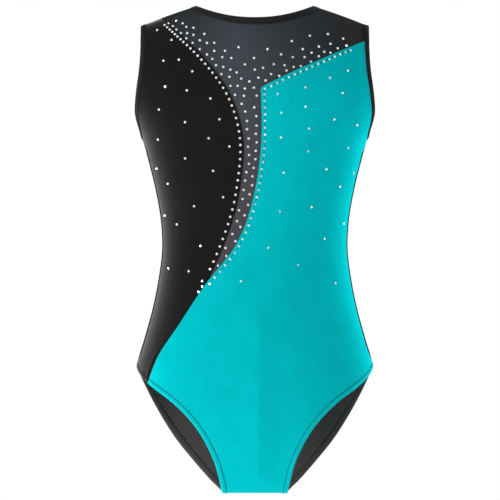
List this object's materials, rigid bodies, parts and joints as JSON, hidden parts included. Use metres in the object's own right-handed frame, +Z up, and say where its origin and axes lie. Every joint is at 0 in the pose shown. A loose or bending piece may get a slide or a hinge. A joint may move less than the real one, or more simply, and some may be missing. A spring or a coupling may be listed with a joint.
{
  "type": "gymnastics leotard",
  "caption": "Sleeveless gymnastics leotard: asymmetric teal and black stretch knit with a see-through mesh yoke, bound neck and armholes, elasticated legs and rhinestones.",
  "frame": {"origin": "midway between the tops of the two shoulder seams at the neck, where the wearer's shoulders or a hanger carry the garment", "axes": "+Z up, -Y towards the front of the garment, +X towards the wearer's left side"},
  "size_m": [0.2678, 0.1742, 0.5417],
  "materials": {
    "teal_knit": "satin, stretch knit",
    "black_knit": "satin, stretch knit",
    "power_mesh": "matte, see-through mesh",
    "binding": "satin, folded knit binding",
    "cotton_lining": "matte",
    "elastic": "matte",
    "black_thread": "matte",
    "teal_thread": "matte",
    "crystal": "polished, faceted, foil backed"
  },
  "bodies": {
    "root": {"front_teal_panel": "teal_knit", "front_black_side_panel": "black_knit", "front_mesh_insert": "power_mesh", "back_panel": "black_knit", "gusset_lining": "cotton_lining", "neck_binding": "binding", "armhole_binding_left": "binding", "armhole_binding_right": "binding", "leg_elastic_left": "elastic", "leg_elastic_right": "elastic", "side_seam_left": "black_thread", "side_seam_right": "black_thread", "shoulder_seam_left": "black_thread", "shoulder_seam_right": "black_thread", "crotch_seam": "black_thread", "black_to_mesh_seam": "black_thread", "black_to_teal_seam": "black_thread", "teal_to_mesh_seam": "black_thread", "teal_edge_topstitch": "teal_thread", "neck_topstitch": "black_thread", "armhole_topstitch_left": "black_thread", "armhole_topstitch_right": "black_thread", "leg_hem_stitch_left": "teal_thread", "leg_hem_stitch_right": "teal_thread", "rhinestone_01": "crystal", "rhinestone_02": "crystal", "rhinestone_03": "crystal", "rhinestone_04": "crystal", "rhinestone_05": "crystal", "rhinestone_06": "crystal", "rhinestone_07": "crystal", "rhinestone_08": "crystal", "rhinestone_09": "crystal", "rhinestone_10": "crystal", "rhinestone_11": "crystal", "rhinestone_12": "crystal", "rhinestone_13": "crystal", "rhinestone_14": "crystal", "rhinestone_15": "crystal", "rhinestone_16": "crystal", "rhinestone_17": "crystal", "rhinestone_18": "crystal", "rhinestone_19": "crystal", "rhinestone_20": "crystal", "rhinestone_21": "crystal", "rhinestone_22": "crystal", "rhinestone_23": "crystal", "rhinestone_24": "crystal", "rhinestone_25": "crystal"}
  },
  "joints": []
}
